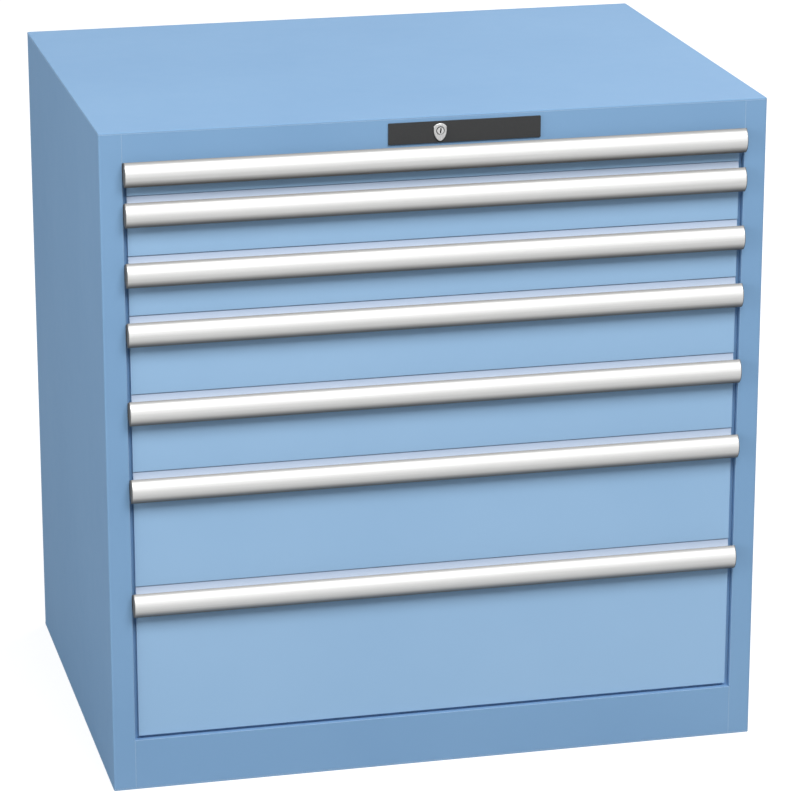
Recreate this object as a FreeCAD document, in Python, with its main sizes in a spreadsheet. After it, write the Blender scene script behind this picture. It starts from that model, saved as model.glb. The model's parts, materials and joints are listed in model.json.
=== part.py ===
import FreeCAD, Part
import math
import os
import Sketcher

# A modular drawer cabinet: folded steel housing, seven drawers on full-extension slides, central lock.
# Row frame: X to the right, Y to the rear, Z up; the origin is the middle of the footprint, on the floor.
# "Depth" below always means the distance behind the front face of the housing.

# Driving sizes in millimetres
SIZES = {
    # housing
    "housing_width": 840,
    "housing_depth": 610,
    "housing_height": 850,
    "sheet": 1.5,
    "top_thickness": 2,
    "base_thickness": 2,
    "edge_rounding": 2.5,
    "top_edge_rounding": 1.4,
    "stile_width": 28,
    "stile_depth": 24,
    "stile_flange_gap": 8,
    "rebate_width": 6,
    "rebate_depth": 10,
    "rear_flange": 20,
    "rear_inset": 1.5,
    "top_rail_height": 37.5,
    "bottom_rail_height": 66,
    "bottom_rebate": 4.5,
    "rail_flange": 20,
    "fixing_hole_radius": 5.5,
    "fixing_inset_side": 60,
    "fixing_inset_end": 70,
    # uprights that carry the cabinet rails
    "upright_depth": 8.5,
    "upright_width": 30,
    "upright_front": 56,
    "upright_rear": 466,
    "upright_slot_length": 14,
    "upright_slot_height": 4,
    "upright_slot_pitch": 25,
    "upright_slot_margin": 60,
    # drawer stack, with the drawers' shares of its height from the top drawer down
    "stack_base": 70,
    "stack_head": 30,
    "front_share_1": 2,
    "front_share_2": 3,
    "front_share_3": 3,
    "front_share_4": 4,
    "front_share_5": 4,
    "front_share_6": 6,
    "front_share_7": 8,
    # drawer front
    "front_recess": 4,
    "front_sheet": 1.2,
    "front_side_gap": 5.5,
    "front_bottom_gap": 0.4,
    "front_top_gap": 0.3,
    "front_rail_gap": 1.5,
    "front_return": 5.5,
    "lean_height": 10,
    "lean_depth": 2,
    # grip moulding
    "grip_height": 31,
    "grip_drop": 5.4,
    "grip_reach": 16,
    "grip_bulge": 8,
    "grip_wall": 2.2,
    "grip_web_fall": 5,
    "grip_flange_height": 17.6,
    "grip_end_gap": 0.8,
    "cap_plate": 0.7,
    "cap_plug": 2.5,
    "cap_fit": 0.15,
    # label strip
    "label_thickness": 0.8,
    "label_margin": 0.4,
    # tray
    "slide_space": 56,
    "tray_length": 500,
    "tray_sheet": 1.2,
    "tray_lift": 3,
    "tray_top_drop": 12,
    "tray_slot_width": 3,
    "tray_slot_pitch": 25,
    "tray_slot_margin": 7,
    "tray_slot_inset": 37,
    # slides
    "stroke": 500,
    "channel_height": 22,
    "channel_lift": 4,
    "channel_sheet": 1.5,
    "runner_width": 14.5,
    "runner_setback": 15,
    "rail_front": 44,
    "rail_length": 471,
    "rail_gap": 5.5,
    "beam_gap": 2,
    "beam_thickness": 4,
    "beam_height": 18,
    "beam_front": 48,
    "beam_length": 452,
    "roller_width": 10,
    "roller_seat_gap": 0.3,
    "roller_top_gap": 0.7,
    "roller_side_gap": 1.5,
    "roller_bore_gap": 0.1,
    "roller_end_margin": 12,
    "roller_stop_margin": 15,
    "pin_radius": 3,
    "pin_end": 0.8,
    "buffer_length": 10,
    "buffer_gap": 2,
    "buffer_width": 12,
    # lock plate and escutcheon
    "lock_drop": 20,
    "plate_width": 192,
    "plate_height": 26.6,
    "plate_left": 64.6,
    "plate_thickness": 2,
    "plate_rounding": 1,
    "shield_width": 16,
    "shield_height": 22,
    "shield_shoulder": 5,
    "shield_crown": 4,
    "shield_tip_radius": 4.5,
    "shield_thickness": 2.5,
    "shield_edge": 0.8,
    "shield_dish_radius": 5.5,
    "shield_dish_depth": 1.2,
    # lock
    "cylinder_rise": 2,
    "cylinder_radius": 4.1,
    "cylinder_proud": 0.3,
    "cylinder_gap": 0.3,
    "case_gap": 0.1,
    "key_slot_width": 1.8,
    "key_slot_height": 6.2,
    "key_slot_depth": 5,
    "key_slot_step": 1,
    "case_radius": 5.9,
    "case_length": 24,
    "nut_width": 17,
    "nut_thickness": 4,
    "cam_radius": 8,
    "cam_thickness": 2,
    "cam_pin_radius": 1.5,
    "lock_travel": 7,
    "lock_clearance": 0.5,
    "transfer_depth": 28,
    "transfer_thickness": 2,
    "transfer_height": 18,
    "transfer_left": 14,
    "lock_bar_depth": 32,
    "lock_bar_thickness": 3,
    "lock_bar_width": 12,
    "lock_bar_gap": 3,
    "lock_bar_foot": 24,
    "lock_bar_pin_radius": 2,
    "finger_reach": 12,
    "finger_height": 5.5,
    "finger_lift": 27.5,
    "catch_gap": 1.5,
    "catch_height": 6,
    "catch_thickness": 3,
    "catch_setback": 2,
    "guide_thickness": 8,
    "guide_wall": 2.4,
    "guide_clearance": 0.3,
    "guide_lift": 50,
}
DRAWERS = 7
LEFT = -1
RIGHT = 1


class Size:
    """A length, together with the spreadsheet expression that gives it."""

    def __init__(self, value, text):
        self.value = value
        self.text = text

    def __add__(self, other):
        return joined(self, "+", other)

    def __radd__(self, other):
        return joined(other, "+", self)

    def __sub__(self, other):
        return joined(self, "-", other)

    def __rsub__(self, other):
        return joined(other, "-", self)

    def __mul__(self, other):
        return joined(self, "*", other)

    def __rmul__(self, other):
        return joined(other, "*", self)

    def __truediv__(self, other):
        return joined(self, "/", other)

    def __neg__(self):
        return joined(0, "-", self)


RESULTS = {
    "+": lambda a, b: a + b,
    "-": lambda a, b: a - b,
    "*": lambda a, b: a * b,
    "/": lambda a, b: a / b,
}


def as_size(number):
    """A plain number as a size."""
    if isinstance(number, Size):
        return number
    return Size(float(number), repr(float(number)))


def joined(a, sign, b):
    """Two sizes joined by an arithmetic sign."""
    a = as_size(a)
    b = as_size(b)
    return Size(RESULTS[sign](a.value, b.value), f"({a.text} {sign} {b.text})")


def root(size):
    """The square root of a size."""
    return Size(math.sqrt(size.value), f"sqrt({size.text})")


class Sheet:
    """The spreadsheet of driving sizes; each attribute is one of its cells."""

    def __init__(self, document, numbers):
        self.cells = document.addObject("Spreadsheet::Sheet", "sizes")
        for row, (name, number) in enumerate(numbers.items(), start=1):
            self.cells.set(f"A{row}", name)
            self.cells.set(f"B{row}", str(number))
            self.cells.setAlias(f"B{row}", name)
        document.recompute()

    def __getattr__(self, name):
        return Size(float(self.cells.get(name)), f"sizes.{name}")


doc = FreeCAD.newDocument("drawer_cabinet")
sizes = Sheet(doc, SIZES)
nodes = []

# Places that several pieces share
half_width = sizes.housing_width / 2
opening = half_width - sizes.stile_width
passage = opening - sizes.rebate_width
front_y = (sizes.grip_reach - sizes.housing_depth) / 2
lid_z = sizes.housing_height - sizes.top_thickness
rail_z = sizes.housing_height - sizes.top_rail_height
tray_side = half_width - sizes.slide_space
tray_front = sizes.front_recess + sizes.front_sheet
beam_inner = tray_side + sizes.runner_width + sizes.beam_gap
beam_outer = beam_inner + sizes.beam_thickness
cabinet_rail_outer = half_width - sizes.sheet - sizes.upright_depth
plate_z = sizes.housing_height - sizes.lock_drop
lock_z = plate_z + sizes.cylinder_rise
lock_bar_inner = passage + sizes.lock_bar_gap


def behind(depth):
    """The Y of a place that lies a given depth behind the front face of the housing."""
    return front_y + depth


def shares_from(number):
    """Sum of the height shares of a drawer and of all those below it."""
    total = as_size(0)
    for lower in range(number, DRAWERS + 1):
        total = total + getattr(sizes, f"front_share_{lower}")
    return total


def drawer_top(number):
    """Height of a drawer's upper boundary; drawer 1 is the top one."""
    room = sizes.housing_height - sizes.stack_head - sizes.stack_base
    return sizes.stack_base + room * shares_from(number) / shares_from(1)


def drawer_bottom(number):
    """Height of a drawer's lower boundary."""
    return drawer_top(number + 1)


def front_top(number):
    """Height of a drawer front's upper edge; the first one stays under the top rail."""
    if number == 1:
        return rail_z - sizes.front_rail_gap
    return drawer_top(number) - sizes.front_top_gap


# Tools for drawing and building


def bind(item, **properties):
    """Tie properties of a document object to sizes."""
    for name, size in properties.items():
        item.setExpression(name, as_size(size).text)


def place(item, x=0, y=0, z=0):
    """Tie the place of a document object to sizes."""
    for axis, size in (("x", x), ("y", y), ("z", z)):
        item.setExpression(f"Placement.Base.{axis}", as_size(size).text)


def node(item, name):
    """Name a finished sub-part."""
    item.Label = name
    nodes.append(item)
    return item


def new_body(name):
    """An empty body."""
    return doc.addObject("PartDesign::Body", name)


def new_sketch(body, name, plane, lift=0):
    """A sketch on one of the body's origin planes, or above it by a lift."""
    sketch = body.newObject("Sketcher::SketchObject", f"{body.Name}_{name}")
    support = next(item for item in body.Origin.OriginFeatures if item.Role == plane)
    sketch.AttachmentSupport = (support, [""])
    sketch.MapMode = "FlatFace"
    sketch.setExpression("AttachmentOffset.Base.z", as_size(lift).text)
    return sketch


class Step:
    """A point of an outline, reached by a straight line, or by an arc where it has a radius and a centre."""

    def __init__(self, x, y, radius=None, centre=None, clockwise=False):
        self.x = as_size(x)
        self.y = as_size(y)
        self.radius = radius
        self.centre = centre
        self.clockwise = clockwise

    def point(self):
        return FreeCAD.Vector(self.x.value, self.y.value, 0)


def direction(start, end):
    """Signs of the way from one step to another, along X and along Y."""
    way = end.point() - start.point()
    return [0 if abs(part) < 1e-6 else math.copysign(1, part) for part in (way.x, way.y)]


def rounded(before, corner, after, radius):
    """The two steps that replace a square corner by a quarter arc."""
    back = direction(corner, before)
    on = direction(corner, after)
    start = Step(corner.x + radius * back[0], corner.y + radius * back[1])
    centre_x = (corner.x + radius * (back[0] + on[0])).value
    centre_y = (corner.y + radius * (back[1] + on[1])).value
    clockwise = back[0] * on[1] - back[1] * on[0] > 0
    end = Step(
        corner.x + radius * on[0], corner.y + radius * on[1], radius, (centre_x, centre_y), clockwise
    )
    return [start, end]


def polygon(*points):
    """Steps through points (x, y), or (x, y, rounding) where a square corner is rounded."""
    corners = [Step(point[0], point[1]) for point in points]
    steps = []
    for index, point in enumerate(points):
        if len(point) == 2:
            steps.append(corners[index])
        else:
            before = corners[index - 1]
            after = corners[(index + 1) % len(corners)]
            steps.extend(rounded(before, corners[index], after, point[2]))
    return steps


def rectangle(x, y, width, height, *rounding):
    """Corners of a rectangle from its lowest corner."""
    corners = ((x, y), (x + width, y), (x + width, y + height), (x, y + height))
    return polygon(*[(*corner, *rounding) for corner in corners])


def folded(path, thickness, side):
    """Closed outline of a sheet folded along a path; side is 1 where the sheet lies left of it, else -1."""
    steps = [Step(point[0], point[1]) for point in path]
    inner = []
    for index, step in enumerate(steps):
        ways = []
        if index > 0:
            ways.append(direction(steps[index - 1], step))
        if index < len(steps) - 1:
            ways.append(direction(step, steps[index + 1]))
        shift_x = -side * sum(way[1] for way in ways)
        shift_y = side * sum(way[0] for way in ways)
        inner.append((step.x + thickness * shift_x, step.y + thickness * shift_y))
    return polygon(*path, *reversed(inner))


def edge_between(start, end):
    """The line or arc from one step to the next."""
    if end.centre is None:
        return Part.LineSegment(start.point(), end.point())
    centre = FreeCAD.Vector(end.centre[0], end.centre[1], 0)
    circle = Part.Circle(centre, FreeCAD.Vector(0, 0, 1), end.radius.value)
    first, last = (end, start) if end.clockwise else (start, end)
    spokes = [step.point() - centre for step in (first, last)]
    angles = [math.atan2(spoke.y, spoke.x) for spoke in spokes]
    return Part.ArcOfCircle(circle, angles[0], angles[1])


def fix_point(sketch, edge, end, x, y):
    """Fix one end of an edge by its distances from the sketch's origin."""
    for kind, size in (("DistanceX", x), ("DistanceY", y)):
        index = sketch.addConstraint(Sketcher.Constraint(kind, -1, 1, edge, end, size.value))
        sketch.setExpression(f"Constraints[{index}]", size.text)


def draw(sketch, steps):
    """Draw a closed outline through steps."""
    edges = []
    for index, step in enumerate(steps):
        edge = sketch.addGeometry(edge_between(steps[index - 1], step), False)
        ends = (2, 1) if step.clockwise else (1, 2)
        edges.append((edge, *ends))
    for index, step in enumerate(steps):
        edge, _, end = edges[index]
        following, start, _ = edges[(index + 1) % len(steps)]
        sketch.addConstraint(Sketcher.Constraint("Coincident", edge, end, following, start))
        fix_point(sketch, edge, end, step.x, step.y)
        if step.radius is not None:
            radius = sketch.addConstraint(Sketcher.Constraint("Radius", edge, step.radius.value))
            sketch.setExpression(f"Constraints[{radius}]", step.radius.text)


def draw_circle(sketch, x, y, radius):
    """Draw a circle."""
    x = as_size(x)
    y = as_size(y)
    circle = Part.Circle(FreeCAD.Vector(x.value, y.value, 0), FreeCAD.Vector(0, 0, 1), radius.value)
    edge = sketch.addGeometry(circle, False)
    fix_point(sketch, edge, 3, x, y)
    index = sketch.addConstraint(Sketcher.Constraint("Radius", edge, radius.value))
    sketch.setExpression(f"Constraints[{index}]", radius.text)


def pad(body, sketch, length, symmetric=False, backwards=False):
    """Add material to a body from a sketch."""
    feature = body.newObject("PartDesign::Pad", f"{sketch.Name}_pad")
    feature.Profile = sketch
    feature.SideType = "Symmetric" if symmetric else "One side"
    feature.Reversed = backwards
    bind(feature, Length=length)
    doc.recompute()
    return feature


def pocket(body, sketch, length, symmetric=False, backwards=False):
    """Cut material from a body, and make sure that the cut removed some."""
    before = body.Shape.Volume
    feature = body.newObject("PartDesign::Pocket", f"{sketch.Name}_pocket")
    feature.Profile = sketch
    feature.SideType = "Symmetric" if symmetric else "One side"
    feature.Reversed = backwards
    bind(feature, Length=length)
    doc.recompute()
    if body.Shape.Volume >= before:
        raise ValueError(f"{feature.Name} cuts nothing")
    return feature


def pattern(body, feature, axis, pitch, count):
    """Repeat a feature along one axis of its sketch."""
    before = body.Shape.Volume
    rows = body.newObject("PartDesign::LinearPattern", f"{feature.Name}_pattern")
    rows.Originals = [feature]
    rows.Direction = (feature.Profile[0], [axis])
    rows.Occurrences = count
    bind(rows, Length=pitch * (count - 1))
    body.Tip = rows
    doc.recompute()
    if body.Shape.Volume >= before:
        raise ValueError(f"{rows.Name} cuts nothing")


def ease_edges(body, axis, level, radius):
    """Round the edges of a body that lie at one level along an axis of its own."""
    solid = body.Tip
    names = []
    for index, edge in enumerate(solid.Shape.Edges, start=1):
        bounds = edge.BoundBox
        ends = (getattr(bounds, f"{axis}Min"), getattr(bounds, f"{axis}Max"))
        if all(abs(end - level) < 1e-4 for end in ends):
            names.append(f"Edge{index}")
    easing = body.newObject("PartDesign::Fillet", f"{body.Name}_easing")
    easing.Base = (solid, names)
    bind(easing, Radius=radius)
    doc.recompute()


def slab(name, plane, steps, length, start=0, symmetric=False):
    """A body of one outline, extruded square to its plane: up, to the right or to the rear."""
    body = new_body(name)
    sketch = new_sketch(body, "outline", plane)
    draw(sketch, steps)
    pad(body, sketch, length, symmetric, backwards=plane == "XZ_Plane")
    offsets = {"XY_Plane": "z", "YZ_Plane": "x", "XZ_Plane": "y"}
    place(body, **{offsets[plane]: start})
    return body


def box(name, x, y, z, width, length, height):
    """A plain block from its lowest corner."""
    block = doc.addObject("Part::Box", name)
    bind(block, Length=width, Width=length, Height=height)
    place(block, x, y, z)
    return block


def rod(name, x, y, z, radius, length, axis):
    """A cylinder from the middle of its first end, along X or Y."""
    cylinder = doc.addObject("Part::Cylinder", name)
    bind(cylinder, Radius=radius, Height=length)
    turns = {
        "x": FreeCAD.Rotation(FreeCAD.Vector(0, 1, 0), 90),
        "y": FreeCAD.Rotation(FreeCAD.Vector(1, 0, 0), -90),
    }
    cylinder.Placement = FreeCAD.Placement(FreeCAD.Vector(0, 0, 0), turns[axis])
    place(cylinder, x, y, z)
    return cylinder


def cut(name, base, tool):
    """One solid less another."""
    result = doc.addObject("Part::Cut", name)
    result.Base = base
    result.Tool = tool
    return result


def fused(name, pieces):
    """Several overlapping or touching pieces made into one solid."""
    result = doc.addObject("Part::MultiFuse", name)
    result.Shapes = pieces
    result.Refine = True
    return result


def group(name, pieces):
    """Separate solids kept together."""
    result = doc.addObject("Part::Compound", name)
    result.Links = pieces
    return result


def mirrored(piece):
    """The same piece on the left of the cabinet."""
    result = doc.addObject("Part::Mirroring", f"{piece.Name}_left")
    result.Source = piece
    result.Base = (0, 0, 0)
    result.Normal = (1, 0, 0)
    return result


# Housing


def side_panel(name, side):
    """One folded sheet: front stile with its rebate, side wall, and rear flange just inside the lid."""
    outer = side * half_width
    flange_end = side * (half_width - sizes.sheet - sizes.stile_flange_gap)
    rear = behind(sizes.housing_depth - sizes.rear_inset)
    path = [
        (flange_end, behind(sizes.stile_depth)),
        (side * passage, behind(sizes.stile_depth)),
        (side * passage, behind(sizes.rebate_depth)),
        (side * opening, behind(sizes.rebate_depth)),
        (side * opening, front_y),
        (outer, front_y, sizes.edge_rounding),
        (outer, rear, sizes.edge_rounding),
        (outer - side * sizes.rear_flange, rear),
    ]
    steps = folded(path, sizes.sheet, side)
    height = lid_z - sizes.base_thickness
    return node(slab(name, "XY_Plane", steps, height, sizes.base_thickness), name)


def back_panel():
    """Flat sheet against the rear flanges of both sides."""
    reach = half_width - sizes.sheet - sizes.edge_rounding
    depth = sizes.housing_depth - sizes.rear_inset - 2 * sizes.sheet
    steps = rectangle(-reach, sizes.base_thickness, 2 * reach, lid_z - sizes.base_thickness)
    return node(slab("back_panel", "XZ_Plane", steps, sizes.sheet, behind(depth)), "back_panel")


def top_panel():
    """Flat lid that sits on the sides and rails, with its upper edge eased."""
    steps = rectangle(
        -half_width, front_y, sizes.housing_width, sizes.housing_depth, sizes.edge_rounding
    )
    body = slab("top_panel", "XY_Plane", steps, sizes.top_thickness, lid_z)
    ease_edges(body, "Z", sizes.top_thickness.value, sizes.top_edge_rounding)
    return node(body, "top_panel")


def base_panel():
    """Floor sheet that the whole housing stands on, with four holes to bolt it down."""
    steps = rectangle(
        -half_width, front_y, sizes.housing_width, sizes.housing_depth, sizes.edge_rounding
    )
    body = slab("base_panel", "XY_Plane", steps, sizes.base_thickness)
    holes = new_sketch(body, "holes", "XY_Plane")
    reach = half_width - sizes.fixing_inset_side
    for x in (-reach, reach):
        for depth in (sizes.fixing_inset_end, sizes.housing_depth - sizes.fixing_inset_end):
            draw_circle(holes, x, behind(depth), sizes.fixing_hole_radius)
    pocket(body, holes, sizes.base_thickness, backwards=True)
    return node(body, "base_panel")


def clear_rebates(body, lift, height):
    """Cut a rail's rear corners away where the stiles' rebates pass."""
    corners = new_sketch(body, "corners", "XY_Plane", lift)
    length = sizes.stile_depth
    width = sizes.rebate_width
    draw(corners, rectangle(passage, behind(sizes.rebate_depth), width, length))
    draw(corners, rectangle(-opening, behind(sizes.rebate_depth), width, length))
    pocket(body, corners, height, backwards=True)


def top_rail():
    """Folded rail above the drawers, with the hole for the lock case."""
    path = [
        (behind(sizes.rail_flange), rail_z),
        (front_y, rail_z),
        (front_y, lid_z),
        (behind(sizes.rail_flange), lid_z),
    ]
    steps = folded(path, sizes.sheet, -1)
    body = slab("top_rail", "YZ_Plane", steps, 2 * opening, symmetric=True)
    clear_rebates(body, rail_z, lid_z - rail_z)
    hole = new_sketch(body, "lock_hole", "XZ_Plane", -front_y)
    draw_circle(hole, 0, lock_z, sizes.case_radius + sizes.case_gap)
    pocket(body, hole, sizes.sheet)
    return node(body, "top_rail")


def bottom_rail():
    """Folded rail below the drawers, with a rebate behind the gap under the lowest front."""
    rebate_z = sizes.bottom_rail_height + sizes.bottom_rebate
    path = [
        (behind(sizes.stile_depth), rebate_z),
        (behind(sizes.rebate_depth), rebate_z),
        (behind(sizes.rebate_depth), sizes.bottom_rail_height),
        (front_y, sizes.bottom_rail_height),
        (front_y, sizes.base_thickness),
        (behind(sizes.rail_flange), sizes.base_thickness),
    ]
    steps = folded(path, sizes.sheet, 1)
    body = slab("bottom_rail", "YZ_Plane", steps, 2 * opening, symmetric=True)
    clear_rebates(body, sizes.base_thickness, rebate_z)
    return node(body, "bottom_rail")


def upright(name, depth):
    """Slotted channel on the right side wall."""
    wall = half_width - sizes.sheet
    face = wall - sizes.upright_depth
    path = [
        (wall, behind(depth)),
        (face, behind(depth)),
        (face, behind(depth + sizes.upright_width)),
        (wall, behind(depth + sizes.upright_width)),
    ]
    height = lid_z - sizes.base_thickness
    steps = folded(path, sizes.sheet, -1)
    body = slab(name, "XY_Plane", steps, height, sizes.base_thickness)
    slot = new_sketch(body, "slot", "YZ_Plane", face)
    middle = behind(depth + sizes.upright_width / 2)
    draw(slot, rectangle(
        middle - sizes.upright_slot_length / 2,
        sizes.upright_slot_margin,
        sizes.upright_slot_length,
        sizes.upright_slot_height,
    ))
    first = pocket(body, slot, sizes.sheet, backwards=True)
    usable = height - 2 * sizes.upright_slot_margin
    count = int(usable.value / sizes.upright_slot_pitch.value) + 1
    pattern(body, first, "V_Axis", sizes.upright_slot_pitch, count)
    return body


def uprights():
    """Two slotted channels on each side wall."""
    right = [upright("front_upright", sizes.upright_front), upright("rear_upright", sizes.upright_rear)]
    left = [mirrored(piece) for piece in right]
    return node(group("uprights_group", right + left), "uprights")


# Drawer fronts


def front_outline(number, wall):
    """Side view of a drawer front, drawn inside its outer face by a wall."""
    low = drawer_bottom(number) + sizes.front_bottom_gap + wall
    high = front_top(number) - wall
    face = behind(sizes.front_recess + wall)
    rear = behind(sizes.front_recess + sizes.front_return)
    if number == 1:
        return polygon((face, low), (rear, low), (rear, high), (face, high))
    crest = behind(sizes.front_recess + sizes.lean_depth + wall)
    fold = front_top(number) - sizes.lean_height
    return polygon((face, low), (rear, low), (rear, high), (crest, high), (face, fold))


def drawer_front(number):
    """Folded sheet, open to the rear; its upper edge leans back to carry the label strip."""
    name = f"drawer_{number}_front"
    width = 2 * (opening - sizes.front_side_gap)
    body = slab(name, "YZ_Plane", front_outline(number, as_size(0)), width, symmetric=True)
    hollow = new_sketch(body, "hollow", "YZ_Plane")
    draw(hollow, front_outline(number, sizes.front_sheet))
    pocket(body, hollow, width - 2 * sizes.front_sheet, symmetric=True)
    return node(body, name)


def grip_radius():
    """Radius of the grip's curved face, from its height and its bulge."""
    half_height = sizes.grip_height / 2
    return (half_height * half_height + sizes.grip_bulge * sizes.grip_bulge) / (2 * sizes.grip_bulge)


def grip_face(number):
    """The grip's upper and lower front edges and the centre of the arc between them, as (y, z) pairs."""
    top_z = drawer_top(number) - sizes.grip_drop
    edge_y = behind(sizes.grip_bulge - sizes.grip_reach)
    middle_z = top_z - sizes.grip_height / 2
    centre_y = front_y - sizes.grip_reach + grip_radius()
    return (edge_y, top_z), (edge_y, top_z - sizes.grip_height), (centre_y, middle_z)


def grip_outline(number):
    """Side view of the grip: curved face, top web falling to the rear, and a flange on the drawer front."""
    upper, lower, centre = grip_face(number)
    radius = grip_radius()
    share = (radius - sizes.grip_wall) / radius
    inner_upper = [middle + share * (end - middle) for end, middle in zip(upper, centre)]
    inner_lower = [middle + share * (end - middle) for end, middle in zip(lower, centre)]
    rear = behind(sizes.front_recess)
    web_z = upper[1] - sizes.grip_web_fall
    flange_z = web_z - sizes.grip_flange_height
    middle = (centre[0].value, centre[1].value)
    return [
        Step(*upper),
        Step(*lower, radius, middle, clockwise=False),
        Step(*inner_lower),
        Step(*inner_upper, radius - sizes.grip_wall, middle, clockwise=True),
        Step(rear - sizes.grip_wall, web_z - sizes.grip_wall),
        Step(rear - sizes.grip_wall, flange_z),
        Step(rear, flange_z),
        Step(rear, web_z),
    ]


def drawer_grip(number):
    """Extruded aluminium grip along the whole opening."""
    name = f"drawer_{number}_grip"
    length = 2 * (opening - sizes.grip_end_gap - sizes.cap_plate)
    body = slab(name, "YZ_Plane", grip_outline(number), length, symmetric=True)
    return node(body, name)


def cap_outline(number, inset):
    """Side view of an end cap, drawn inside the grip's outer faces by an inset."""
    upper, lower, centre = grip_face(number)
    radius = grip_radius() - inset
    reach = sizes.grip_height / 2 * radius / grip_radius()
    bow_y = centre[0] - root(radius * radius - reach * reach)
    rear = behind(sizes.front_recess) - inset
    web_z = upper[1] - sizes.grip_web_fall - inset
    return [
        Step(bow_y, centre[1] + reach),
        Step(bow_y, centre[1] - reach, radius, (centre[0].value, centre[1].value), clockwise=False),
        Step(rear, web_z + inset - sizes.grip_flange_height),
        Step(rear, web_z),
    ]


def drawer_caps(number):
    """Two end caps: a thin plate that covers the end of the grip, and a plug that holds it there."""
    name = f"drawer_{number}_grip_caps"
    grip_end = opening - sizes.grip_end_gap - sizes.cap_plate
    plate = cap_outline(number, as_size(0))
    right = slab(f"{name}_right", "YZ_Plane", plate, sizes.cap_plate, grip_end)
    plug = new_sketch(right, "plug", "YZ_Plane", -sizes.cap_plug)
    draw(plug, cap_outline(number, sizes.grip_wall + sizes.cap_fit))
    pad(right, plug, sizes.cap_plug)
    return node(group(f"{name}_pair", [right, mirrored(right)]), name)


def drawer_label(number):
    """Thin strip under a clear cover, on the leaning edge of the drawer front."""
    name = f"drawer_{number}_label"
    slope = root(sizes.lean_height * sizes.lean_height + sizes.lean_depth * sizes.lean_depth)
    along = (sizes.lean_depth / slope, sizes.lean_height / slope)
    out = (-sizes.label_thickness * along[1], sizes.label_thickness * along[0])
    face = behind(sizes.front_recess)
    crest_z = front_top(number)
    low = (
        face + sizes.label_margin * along[0],
        crest_z - sizes.lean_height + sizes.label_margin * along[1],
    )
    high = (
        face + sizes.lean_depth - sizes.label_margin * along[0],
        crest_z - sizes.label_margin * along[1],
    )
    steps = polygon(low, high, (high[0] + out[0], high[1] + out[1]), (low[0] + out[0], low[1] + out[1]))
    width = 2 * (opening - sizes.front_side_gap - sizes.label_margin)
    return node(slab(name, "YZ_Plane", steps, width, symmetric=True), name)


# Trays and slides


def tray_shell(number):
    """Folded tray with rows of slots for partitions in its walls."""
    body = new_body(f"drawer_{number}_tray_shell")
    width = 2 * tray_side
    floor_z = drawer_bottom(number) + sizes.tray_lift
    height = drawer_top(number) - sizes.tray_top_drop - floor_z
    outline = new_sketch(body, "outline", "XY_Plane")
    draw(outline, rectangle(-tray_side, behind(tray_front), width, sizes.tray_length))
    pad(body, outline, height)
    wall = sizes.tray_sheet
    inside = new_sketch(body, "inside", "XY_Plane", height)
    draw(inside, rectangle(
        wall - tray_side, behind(tray_front + wall), width - 2 * wall, sizes.tray_length - 2 * wall
    ))
    pocket(body, inside, height - wall)
    slot_height = height - wall - 2 * sizes.tray_slot_margin
    slot_z = wall + sizes.tray_slot_margin
    inset = sizes.tray_slot_inset
    half_slot = sizes.tray_slot_width / 2
    side_slot = new_sketch(body, "side_slot", "YZ_Plane")
    draw(side_slot, rectangle(
        behind(tray_front + inset) - half_slot, slot_z, sizes.tray_slot_width, slot_height
    ))
    first = pocket(body, side_slot, width + wall, symmetric=True)
    count = int((sizes.tray_length - 2 * inset).value / sizes.tray_slot_pitch.value) + 1
    pattern(body, first, "H_Axis", sizes.tray_slot_pitch, count)
    rear_slot = new_sketch(body, "rear_slot", "XZ_Plane", -behind(tray_front + sizes.tray_length - 2 * wall))
    draw(rear_slot, rectangle(inset - tray_side - half_slot, slot_z, sizes.tray_slot_width, slot_height))
    first = pocket(body, rear_slot, 3 * wall)
    count = int((width - 2 * inset).value / sizes.tray_slot_pitch.value) + 1
    pattern(body, first, "H_Axis", sizes.tray_slot_pitch, count)
    place(body, z=floor_z)
    return body


def channel(name, number, web_x, edge_x, start, length, side):
    """Horizontal C channel of a slide; its web is at one X and its flanges end at the other."""
    low = drawer_bottom(number) + sizes.channel_lift
    high = low + sizes.channel_height
    path = [(edge_x, high), (web_x, high), (web_x, low), (edge_x, low)]
    steps = folded(path, sizes.channel_sheet, side)
    return slab(name, "XZ_Plane", steps, length, behind(start))


def drawer_tray(number):
    """The tray with a runner channel on each side wall and the lock's catch on the right one."""
    name = f"drawer_{number}_tray"
    start = tray_front + sizes.runner_setback
    length = sizes.tray_length - sizes.runner_setback
    runner = channel(
        f"{name}_runner", number, tray_side, tray_side + sizes.runner_width, start, length, 1
    )
    catch_z = drawer_bottom(number) + sizes.finger_lift + sizes.finger_height + sizes.catch_gap
    catch = box(
        f"{name}_catch",
        tray_side,
        behind(sizes.lock_bar_depth + sizes.lock_bar_thickness + sizes.catch_setback),
        catch_z,
        beam_outer - tray_side,
        sizes.catch_thickness,
        sizes.catch_height,
    )
    pieces = [tray_shell(number), runner, mirrored(runner), catch]
    return node(group(f"{name}_group", pieces), name)


def roller_radius():
    """Radius that fills the channel, less the running gaps below and above."""
    room = sizes.channel_height - 2 * sizes.channel_sheet
    return (room - sizes.roller_seat_gap - sizes.roller_top_gap) / 2


def roller_z(number):
    """Height of the roller axes of a drawer."""
    low = drawer_bottom(number) + sizes.channel_lift + sizes.channel_sheet
    return low + sizes.roller_seat_gap + roller_radius()


def roller(name, number, x, depth):
    """A roller with its bore, on an axis along X."""
    y = behind(depth)
    z = roller_z(number)
    rim = rod(f"{name}_rim", x, y, z, roller_radius(), sizes.roller_width, "x")
    bore_radius = sizes.pin_radius + sizes.roller_bore_gap
    bore = rod(f"{name}_bore", x, y, z, bore_radius, sizes.roller_width, "x")
    return cut(name, rim, bore)


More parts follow.
